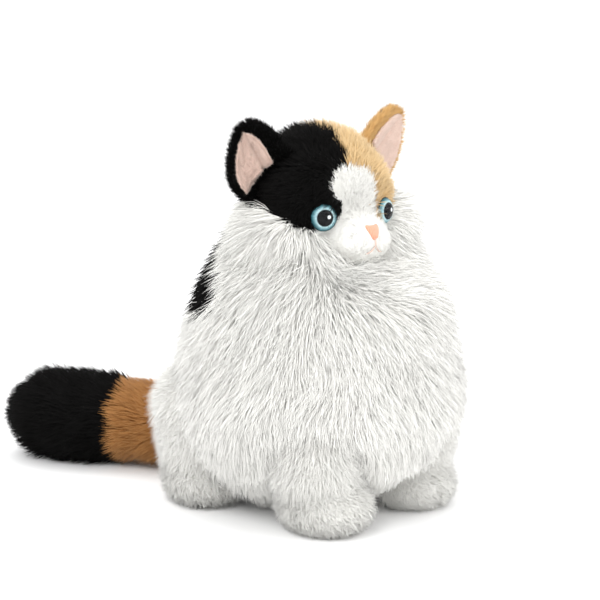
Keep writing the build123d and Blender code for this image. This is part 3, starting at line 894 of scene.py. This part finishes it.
def eye_materials():
    iris, tree, shader = new_material("eye_iris")
    uv = tree.nodes.new("ShaderNodeUVMap")
    uv.uv_map = "OFBake"
    split = tree.nodes.new("ShaderNodeSeparateXYZ")
    tree.links.new(uv.outputs["UV"], split.inputs[0])

    def arithmetic(kind, first, second, third=None):
        node = tree.nodes.new("ShaderNodeMath")
        node.operation = kind
        for socket, value in zip(node.inputs, (first, second, third)):
            if value is None:
                continue
            if isinstance(value, (int, float)):
                socket.default_value = value
            else:
                tree.links.new(value, socket)
        return node.outputs[0]

    def sum_of_squares(first, second):
        square = arithmetic("MULTIPLY", first, first)
        return arithmetic("ADD", square, arithmetic("MULTIPLY", second, second))

    x = arithmetic("SUBTRACT", split.outputs["X"], 0.5)
    y = arithmetic("SUBTRACT", split.outputs["Y"], 0.5)
    radius = arithmetic("SQRT", sum_of_squares(x, y), 0)
    radius = arithmetic("MULTIPLY", radius, 2.0)
    angle = arithmetic("ARCTAN2", y, x)
    combine = tree.nodes.new("ShaderNodeCombineXYZ")
    tree.links.new(arithmetic("MULTIPLY", angle, 9.0), combine.inputs[0])
    tree.links.new(arithmetic("MULTIPLY", radius, 1.2), combine.inputs[1])
    streak = tree.nodes.new("ShaderNodeTexNoise")
    streak.inputs["Scale"].default_value = 2.2
    streak.inputs["Detail"].default_value = 4
    tree.links.new(combine.outputs[0], streak.inputs["Vector"])
    # The bright ring just outside the pupil is partly the iris's own lighter inner colour and partly a
    # painted reflection of the lamps on the dome.
    rings = ramp(tree, [(0.0, (0.003, 0.003, 0.004)), (0.56, (0.003, 0.003, 0.004)),
                        (0.585, (0.06, 0.11, 0.13)), (0.63, (0.62, 0.80, 0.83)), (0.74, (0.36, 0.60, 0.65)),
                        (0.86, (0.10, 0.28, 0.33)), (0.95, (0.03, 0.11, 0.13)), (1.0, (0.006, 0.010, 0.012))])
    tree.links.new(radius, rings.inputs["Fac"])
    streaks = ramp(tree, [(0.40, (0.50, 0.60, 0.62)), (0.56, (1.2, 1.2, 1.2))])
    tree.links.new(streak.outputs["Fac"], streaks.inputs["Fac"])
    colour = mixed(tree, "MULTIPLY", 1.0, rings.outputs["Color"], streaks.outputs["Color"])
    # Painted highlight: a small white spot added to the iris colour stands in for the clear dome's reflection
    # of a lamp.
    painted_glint_x = arithmetic("SUBTRACT", split.outputs["X"], 0.64)
    painted_glint_y = arithmetic("SUBTRACT", split.outputs["Y"], 0.53)
    reach = sum_of_squares(painted_glint_x, painted_glint_y)
    painted_glint = ramp(tree, [(0.0, (0.95, 0.97, 1.0)), (0.30, (0.85, 0.88, 0.9)),
                        (0.42, (0, 0, 0)), (1.0, (0, 0, 0))])
    tree.links.new(arithmetic("MULTIPLY", reach, 80.0), painted_glint.inputs["Fac"])
    colour = mixed(tree, "ADD", 1.0, colour, painted_glint.outputs["Color"])
    tree.links.new(colour, shader.inputs["Base Color"])
    set_inputs(shader, Roughness=0.5, Specular_IOR_Level=0.05)

    clear, tree, shader = new_material("eye_clear")
    place = tree.nodes.new("ShaderNodeTexCoord")
    noise = tree.nodes.new("ShaderNodeTexNoise")
    noise.inputs["Scale"].default_value = 40
    tree.links.new(place.outputs["Object"], noise.inputs["Vector"])
    tint = ramp(tree, [(0.0, (0.97, 0.99, 1.0)), (1.0, (1.0, 1.0, 1.0))])
    tree.links.new(noise.outputs["Fac"], tint.inputs["Fac"])
    tree.links.new(tint.outputs["Color"], shader.inputs["Base Color"])
    set_inputs(shader, Roughness=0.0, Transmission_Weight=1.0, IOR=1.25)
    return iris, clear


def build_eye(side_name, iris_material, clear_material):
    """Painted iris under a clear dome, on the shank's axis."""
    seat, out, across = eye_frame(side_name)
    rows, columns = 16, 48
    for kind, radius, bulge, start, material, slot_name in (
            ("iris_disc", 10.0, 3.6, 1.2, iris_material, "eye_iris"),
            ("dome_cap", 10.4, 6.0, 1.2, clear_material, "eye_clear")):
        ball = (radius ** 2 + bulge ** 2) / (2 * bulge)
        edge = math.asin(min(1.0, radius / ball))
        verts, uvs = [], []
        for r in range(rows):
            polar = edge * (r + 1) / rows
            ring = ball * math.sin(polar)
            height = ball * math.cos(polar) - ball + bulge
            for c in range(columns):
                angle = 2 * math.pi * c / columns
                x, y = math.cos(angle), math.sin(angle)
                verts.append(seat + out * (start + height) + (across * x + UP * y) * ring)
                uvs.append((0.5 + 0.5 * ring / radius * x, 0.5 + 0.5 * ring / radius * y))
        faces = [tuple(reversed(f)) for f in grid_faces(rows, columns, True)]
        verts.append(seat + out * (start + bulge))
        uvs.append((0.5, 0.5))
        verts.append(seat + out * (start - 0.8))
        uvs.append((0.5, 0.5))
        top, under = len(verts) - 2, len(verts) - 1
        last = (rows - 1) * columns
        for c in range(columns):
            d = (c + 1) % columns
            faces.append((top, c, d))
            faces.append((under, last + d, last + c))
        obj = mesh_object(f"eye_{side_name}_{kind}", verts, faces)
        layer = obj.data.uv_layers.new(name="OFBake")
        corner = np.zeros(len(obj.data.loops), int)
        obj.data.loops.foreach_get("vertex_index", corner)
        layer.data.foreach_set("uv", np.array(uvs)[corner].ravel())
        node = f"eye_{side_name}_iris" if kind == "iris_disc" else f"eye_{side_name}_dome"
        finish_piece(obj, "torso", material, slot_name, node)


def build_nose(head):
    """Satin-stitched nose pad that follows the muzzle."""
    low, high = node_box("nose_embroidery")
    centre = (low + high) / 2
    rows, columns = 12, 17
    half_height = (high[2] - low[2]) / 2
    verts = []
    for r in range(rows):
        t = r / (rows - 1)
        height = centre[2] - 2.2 + half_height - 2 * half_height * t
        half = float(np.interp(t, [0, 0.08, 0.2, 0.4, 0.6, 0.8, 0.93, 1],
                               [5.4, 6.7, 7.1, 6.2, 4.7, 3.3, 2.3, 1.2]))
        for c in range(columns):
            s = c / (columns - 1) * 2 - 1
            x = s * half
            hit, place, _, _ = head.ray_cast(Vector((x * MM, -0.12, height * MM)), Vector((0, 1, 0)))
            depth = place[1] / MM if hit else centre[1]
            edge = max(abs(s), abs(2 * t - 1))
            puff = 2.3 * (1 - edge ** 4)
            verts.append((x, depth - puff, height - 0.8 * (1 - s * s) * (t < 0.05)))
    faces = grid_faces(rows, columns, False)
    obj = mesh_object("nose_pad", verts, faces)
    thick = obj.modifiers.new("thick", "SOLIDIFY")
    thick.thickness = 1.0 * MM
    thick.offset = 1 if obj.data.polygons[0].normal.y > 0 else -1
    divide = obj.modifiers.new("round", "SUBSURF")
    divide.levels = divide.render_levels = 1
    bake_modifiers(obj)
    finish_piece(obj, "torso", NOSE_THREAD, "nose_thread", "nose_embroidery")
    runs = []
    for points in ([(0, 212.5), (0, 210.5), (0, 208.5), (0, 206.8)],
                   [(0.2, 207), (1.8, 204.8), (3.8, 203.0), (6.2, 201.8), (8.4, 201.4)],
                   [(-0.2, 207), (-1.8, 204.8), (-3.8, 203.0), (-6.2, 201.8), (-8.4, 201.4)]):
        run = []
        for x, z in points:
            hit, place, _, _ = head.ray_cast(Vector((x * MM, -0.12, z * MM)), Vector((0, 1, 0)))
            if hit:
                run.append((x, place[1] / MM - 1.4, z))
        runs.append(run)
    mouth = thread_tubes("mouth_threads", runs, 0.6)
    finish_piece(mouth, "torso", MOUTH_THREAD, "sewing_thread", "mouth_stitches")


# ---------------------------------------------------------------- fur fields

def torso_flow(points):
    """Fur hangs down and a little outwards, swirling slowly from place to place."""
    radial = unit(points * (1, 1, 0))
    flow = np.array([0, 0, -1.0]) + radial * 0.25
    return flow + vector_noise(points, 50, 71) * 0.28 + vector_noise(points, 19, 77) * 0.2


def near_legs(points):
    """1 beside a leg, falling to 0 away from it."""
    closest = np.full(len(points), 1e9)
    for side_name, side in SIDES.items():
        for kind, spec in LEGS.items():
            hip = joint_point(f"{kind}_leg_{side_name}_swing") + (0, 0, 14)
            line = np.array(spec["foot"], float) * (side, 1, 1) - hip
            t = np.clip(((points - hip) @ line) / (line @ line), 0, 1)[:, None]
            closest = np.minimum(closest, np.linalg.norm(points - hip - line * t, axis=1))
    return 1 - smooth_step(30, 48, closest)


def head_flow(points):
    """Fur runs back from the face, over the crown and down the sides."""
    offset = points - (HEAD + (0, -60, -8))
    flow = unit(offset) * (1, 1, 0.6)
    down = 1 - smooth_step(225, 262, points[:, 2])
    flow = flow + np.array([0, 0, -0.9]) * down[:, None]
    return flow + vector_noise(points, 18, 91) * 0.45


def round_eyes(points, flow):
    """Fur flow turned away from each eye close to it."""
    for side_name in SIDES:
        seat, out, _ = eye_frame(side_name)
        offset = points - seat
        radial = offset - (offset @ out)[:, None] * out
        distance = np.linalg.norm(radial, axis=1)
        flow = flow + unit(radial) * (2.6 * (1 - smooth_step(10, 21, distance)))[:, None]
    return flow


def clear_of_eyes(points, gap):
    held = np.ones(len(points), bool)
    for side_name in SIDES:
        seat, out, _ = eye_frame(side_name)
        offset = points - seat
        along = offset @ out
        radial = np.linalg.norm(offset - along[:, None] * out, axis=1)
        held &= ~((radial < 9.6 + gap) & (along > -12))
    return held


def clear_of_face_marks(points):
    front = points[:, 1] < -50
    side = np.abs(points[:, 0])
    lip = np.interp(side, [0, 0.5, 2, 4, 6.5, 9], [207, 206.6, 204.8, 203.0, 201.8, 201.4])
    mouth = front & (side < 9) & (np.abs(points[:, 2] - lip) < 1.1)
    mouth |= front & (side < 0.8) & (points[:, 2] > 206) & (points[:, 2] < 214)
    nose = (side < 7.6 - (223 - points[:, 2]) * 0.42) & (points[:, 2] > 210.5) & (points[:, 2] < 223.4)
    nose &= points[:, 1] < -40
    return ~(nose | mouth)


def torso_white(points):
    """Where white fur grows on the torso: not on the black patch, and not inside the head."""
    skull = (((points - HEAD) / (58, 48, 47)) ** 2).sum(1) < 1
    return (points[:, 2] > 3) & (points[:, 2] < 216) & ~is_back_black(points) & ~skull


def torso_fur(torso, rng):
    points, normals = roots_on(torso, 108000, rng, torso_white)
    angle = from_front(points)
    height = points[:, 2]
    length = 17 + 7 * smooth_step(120, 190, height) - 4 * smooth_step(205, 225, height)
    tucked = (1 - smooth_step(40, 62, height)) * (1 - smooth_step(70, 110, np.degrees(np.abs(angle))))
    length = np.where(height < 30, 12, length) * (1 - 0.55 * tucked)
    beside = near_legs(points)
    length = length * (1 - 0.55 * beside)
    tilt = 0.42 + 0.1 * smooth_step(150, 200, height) + 0.05 * wave_noise(points, 30, 141)
    tilt = tilt * (1 - 0.5 * beside)
    flow = torso_flow(points)
    sector = np.floor((angle + math.pi) / (2 * math.pi) * 9.999).astype(int)
    for k in range(10):
        here = sector == k
        grow(f"torso_fur_{k}", "torso", WHITE_FUR, "white_long_pile", points[here], normals[here],
             flow[here], length[here], 0.55, rng, lift=tilt[here], bend=0.38, fall=0.22,
             clump=10, gather=0.2, stray=0.19,
             relief=0.22)
    points, normals = roots_on(torso, 60000, rng, is_back_black)
    grow("back_patch_fur", "torso", BLACK_FUR, "black_pile", points, normals, torso_flow(points),
         19, 0.75, rng, lift=0.45, bend=0.38, fall=0.22, clump=7.5, gather=0.6, stray=0.12)


def head_fur(head, rng):
    points, normals = roots_on(head, 46000, rng)
    held = clear_of_eyes(points, 0.6) & (points[:, 2] > 196)
    points, normals = points[held], normals[held]
    colour = head_colour(points)
    flow = head_flow(points)
    orange = colour == 2
    flow[orange] = round_eyes(points[orange], flow[orange])
    for value, name, material, slot_name in ((1, "head_fur_black", BLACK_FUR, "black_pile"),
                                             (2, "head_fur_orange", ORANGE_FUR, "orange_pile")):
        here = colour == value
        tuft = smooth_step(268, 284, points[here][:, 2])
        size = 9.5 + 3.5 * tuft
        grow(name, "torso", material, slot_name, points[here], normals[here], flow[here], size, 0.65, rng,
             lift=0.4 + 0.2 * tuft, bend=0.35, fall=0.06, clump=5.0, gather=0.5, stray=0.16)


def face_fur(head, rng):
    points, normals = roots_on(head, 84000, rng, lambda p: (p[:, 1] < 10) & (p[:, 2] > 182))
    held = clear_of_eyes(points, 0.6) & clear_of_face_marks(points) & (head_colour(points) == 0)
    points, normals = points[held], normals[held]
    muzzle = np.linalg.norm((points - (MUZZLE + (0, -6, -1))) / (31, 32, 25), axis=1) < 1.04
    blaze = (points[:, 2] > 226) & (np.abs(points[:, 0]) < 30)
    short = muzzle | blaze
    away = unit(points - (MUZZLE + (0, -24, 8)))
    face_length = np.where(blaze, 6.5, 3.6)
    grow("face_fur_short", "torso", SHORT_FUR, "white_short_pile", points[short], normals[short],
         round_eyes(points[short], away[short]), face_length[short], 0.45, rng,
         lift=0.42, bend=0.2, fall=0.03, clump=3.0, gather=0.05, stray=0.28, rings=2, relief=0.3)


def cheek_fur(head, rng):
    points, normals = roots_on(head, 42000, rng, lambda p: p[:, 2] > 182)
    beard = np.linalg.norm((points - (MUZZLE + (0, -6, -1))) / (31, 32, 25), axis=1) > 1.02
    beard &= (head_colour(points) == 0) & clear_of_eyes(points, 3.5)
    beard &= (points[:, 2] < 226) | (np.abs(points[:, 0]) > 30)
    points, normals = points[beard], normals[beard]
    around = np.degrees(np.abs(from_front(points)))
    outward = unit(points * (1, 1, 0))
    backwards = np.array([0, 1.0, 0])
    flow = outward * 0.5 + backwards * 0.35 + np.array([0, 0, -0.75]) + vector_noise(points, 20, 97) * 0.3
    flow = round_eyes(points, flow)
    reach = np.interp(around, [20, 40, 60, 90, 130, 150], [9, 12, 20, 25, 15, 9])
    lift = np.interp(around, [20, 60, 90], [0.35, 0.55, 0.68])
    halves = points[:, 0] > 0
    for side_name, here in (("right", ~halves), ("left", halves)):
        grow(f"cheek_fur_{side_name}", "torso", WHITE_FUR, "white_long_pile", points[here], normals[here],
             flow[here], reach[here], 0.55, rng, lift=lift[here], bend=0.35, fall=0.2, clump=9,
             gather=0.25, stray=0.13, relief=0.22)


def build_body_fur(torso, head):
    rng = np.random.default_rng(101)
    torso_fur(torso, rng)
    head_fur(head, rng)
    face_fur(head, rng)
    cheek_fur(head, rng)


def build_tail_fur(skin, seed):
    rng = np.random.default_rng(seed)
    points, normals = roots_on(skin, 34000, rng)
    distance = tail_distance(points)
    seam = TAIL_FUR_SEAM + wave_noise(points, 20, 161) * 2.0
    flow = TAIL_DIR + vector_noise(points, 22, 171) * 0.25
    tip = distance > seam
    grow("tail_fur_orange", "tail", TAIL_ORANGE_FUR, "orange_pile", points[~tip], normals[~tip], flow[~tip],
         np.interp(distance[~tip], [-10, 20, 60], [7, 11, 15]), 0.6, rng, lift=0.42, bend=0.3, fall=0.0,
         clump=6, gather=0.3, stray=0.12, rings=3, relief=0.35)
    flow[tip] = flow[tip] + normals[tip] * 0.3
    for number, half in enumerate((points[:, 2] < TAIL_ROOT[2], points[:, 2] >= TAIL_ROOT[2])):
        here = tip & half
        grow(f"tail_fur_black_{number}", "tail", BLACK_FUR, "black_pile", points[here], normals[here],
             flow[here], 18, 0.65, rng, lift=0.42, bend=0.3, fall=0.0, clump=7.5, gather=0.45, stray=0.12)


# ---------------------------------------------------------------- scene

def build_stage():
    material, tree, shader = new_material("floor_paper")
    place = tree.nodes.new("ShaderNodeTexCoord")
    noise = tree.nodes.new("ShaderNodeTexNoise")
    noise.inputs["Scale"].default_value = 6
    tree.links.new(place.outputs["Object"], noise.inputs["Vector"])
    colours = ramp(tree, [(0.0, (0.92, 0.92, 0.92)), (1.0, (0.94, 0.94, 0.94))])
    tree.links.new(noise.outputs["Fac"], colours.inputs["Fac"])
    tree.links.new(colours.outputs["Color"], shader.inputs["Base Color"])
    set_inputs(shader, Roughness=0.9, Specular_IOR_Level=0.1)
    size = 8000.0
    floor = mesh_object("floor", [(-size, -size, 0), (size, -size, 0), (size, size, 0), (-size, size, 0)],
                        [(0, 1, 2, 3)], smooth=False)
    floor.data.materials.append(material)


def add_light(name, place, target, size, power, colour=(1, 1, 1)):
    data = bpy.data.lights.new(name, "AREA")
    data.shape = "SQUARE"
    data.size = size
    data.energy = power
    data.color = colour
    obj = bpy.data.objects.new(name, data)
    SCENE.collection.objects.link(obj)
    obj.location = place
    obj.rotation_euler = (Vector(target) - Vector(place)).to_track_quat("-Z", "Y").to_euler()
    return obj


CAMERA_AZIMUTH = math.radians(45)
CAMERA_PITCH = math.radians(11.4)
CAMERA_AIM = math.radians(-0.59135)
CAMERA_DISTANCE = 1.3
CAMERA_HEIGHT = 0.42
CAMERA_SENSOR = 36.0
CAMERA_LENS = 104.64


def build_light():
    world = bpy.data.worlds.new("studio")
    SCENE.world = world
    world.use_nodes = True
    background = world.node_tree.nodes["Background"]
    background.inputs["Color"].default_value = (1.0, 1.0, 1.0, 1)
    background.inputs["Strength"].default_value = 1.1
    add_light("key", (-1.6, -0.6, 1.9), (0, 0, 0.15), 1.1, 20)
    add_light("fill", (0.9, -1.9, 1.1), (0, 0, 0.15), 1.4, 6)
    add_light("top", (0.2, 0.3, 2.2), (0, 0, 0.1), 1.6, 10)
    add_light("catch", (0.35, -2.1, 0.55), (0, 0, 0.22), 0.16, 5)
    SCENE.view_settings.view_transform = "Standard"
    SCENE.view_settings.exposure = 0.2


def build_camera():
    """The camera stands at the cat's front right and is turned slightly off the cat's axis."""
    to_camera = Vector((-math.sin(CAMERA_AZIMUTH), -math.cos(CAMERA_AZIMUTH), 0))
    image_right = Vector((math.cos(CAMERA_AZIMUTH), -math.sin(CAMERA_AZIMUTH), 0))
    level = -to_camera * math.cos(CAMERA_AIM) + image_right * math.sin(CAMERA_AIM)
    look = level * math.cos(CAMERA_PITCH) + Vector((0, 0, -math.sin(CAMERA_PITCH)))
    data = bpy.data.cameras.new("camera")
    data.sensor_width = CAMERA_SENSOR
    data.lens = CAMERA_LENS
    data.clip_start, data.clip_end = 0.05, 50
    camera = bpy.data.objects.new("camera", data)
    SCENE.collection.objects.link(camera)
    camera.location = to_camera * CAMERA_DISTANCE + Vector((0, 0, CAMERA_HEIGHT))
    camera.rotation_euler = look.to_track_quat("-Z", "Y").to_euler()
    SCENE.camera = camera


def dress_inner_nodes():
    """Procedural materials for the CAD nodes that stay inside."""
    fibre = cloth_material("fibre_fill", (0.92, 0.92, 0.92), (0.80, 0.80, 0.80), 120, 0.8)
    weave = cloth_material("pouch_weave", (0.80, 0.79, 0.74), (0.66, 0.65, 0.60), 300, 0.6)
    grains = cloth_material("pellet_grains", (0.86, 0.86, 0.84), (0.55, 0.55, 0.54), 500, 1.0,
                            roughness=0.4, sheen=0.0)
    plastic = cloth_material("shank_plastic", (0.03, 0.03, 0.032), (0.02, 0.02, 0.022), 80, 0.1,
                             roughness=0.45, sheen=0.0)
    tape = cloth_material("seam_tape", (0.26, 0.12, 0.04), (0.18, 0.08, 0.02), 300, 0.6)
    chosen = {"pellet_pouch": weave, "pellet_fill": grains, "tail_root_seam": tape,
              "closing_seam_stitches": TOE_THREAD}
    for name, obj in frame["nodes"].items():
        if obj.hide_render:
            continue
        if name.endswith(("shank", "washer")):
            material = plastic
        else:
            material = chosen.get(name, fibre)
        obj.data.materials.clear()
        obj.data.materials.append(material)


def main():
    torso = build_torso_skin()
    back = split_by_face(torso, is_back_black, "back_patch_skin")
    head = build_head_skin()
    finish_piece(torso, "torso", WHITE_CLOTH, "white_long_pile", "torso_chest_panel", "torso_right_panel",
                 "torso_left_panel", "torso_back_panel", "belly_base_panel", "torso_stuffing", "ruff_right",
                 "ruff_left")
    verts, _, normals = read_mesh(back)
    write_verts(back, verts + normals * 0.5)
    finish_piece(back, "torso", BLACK_CLOTH, "black_pile", "back_patch_black", "nape_patch_black")
    for value, name, material, slot_name, nodes in (
            (0, "face_skin_white", WHITE_CLOTH, "white_short_pile", ["face_panel_white", "head_stuffing"]),
            (1, "head_skin_black", BLACK_CLOTH, "black_pile", ["head_cover_right_black"]),
            (2, "head_skin_orange", ORANGE_CLOTH, "orange_pile", ["head_cover_left_orange"])):
        skin = split_by_face(head, lambda p, v=value: head_colour(p) == v, name)
        finish_piece(skin, "torso", material, slot_name, *nodes)
    build_nose(head)
    build_body_fur(torso, head)
    iris, clear = eye_materials()
    for side_name in SIDES:
        build_eye(side_name, iris, clear)
    for number, side_name in enumerate(SIDES):
        for kind in LEGS:
            leg = build_leg(kind, side_name)
            toe_threads(*leg[:5])
            leg_fur(*leg, 200 + number * 10 + len(kind))
        skin, lining = build_ear(side_name)
        ear_fur(side_name, skin, lining, 300 + number)
    tail = build_tail()
    tip_skin = split_by_face(tail, lambda p: tail_distance(p) > TAIL_SKIN_SEAM, "tail_tip_skin")
    base_skin = split_by_face(tail, lambda p: tail_distance(p) <= TAIL_SKIN_SEAM, "tail_base_skin")
    finish_piece(tip_skin, "tail", BLACK_CLOTH, "black_pile", "tail_tip_cover")
    finish_piece(base_skin, "tail", TAIL_ORANGE_CLOTH, "orange_pile", "tail_base_cover", "tail_stuffing")
    build_tail_fur(tail, 401)
    for spare in (head, tail):
        bpy.data.objects.remove(spare)
    dress_inner_nodes()
    build_stage()
    build_light()
    build_camera()


main()
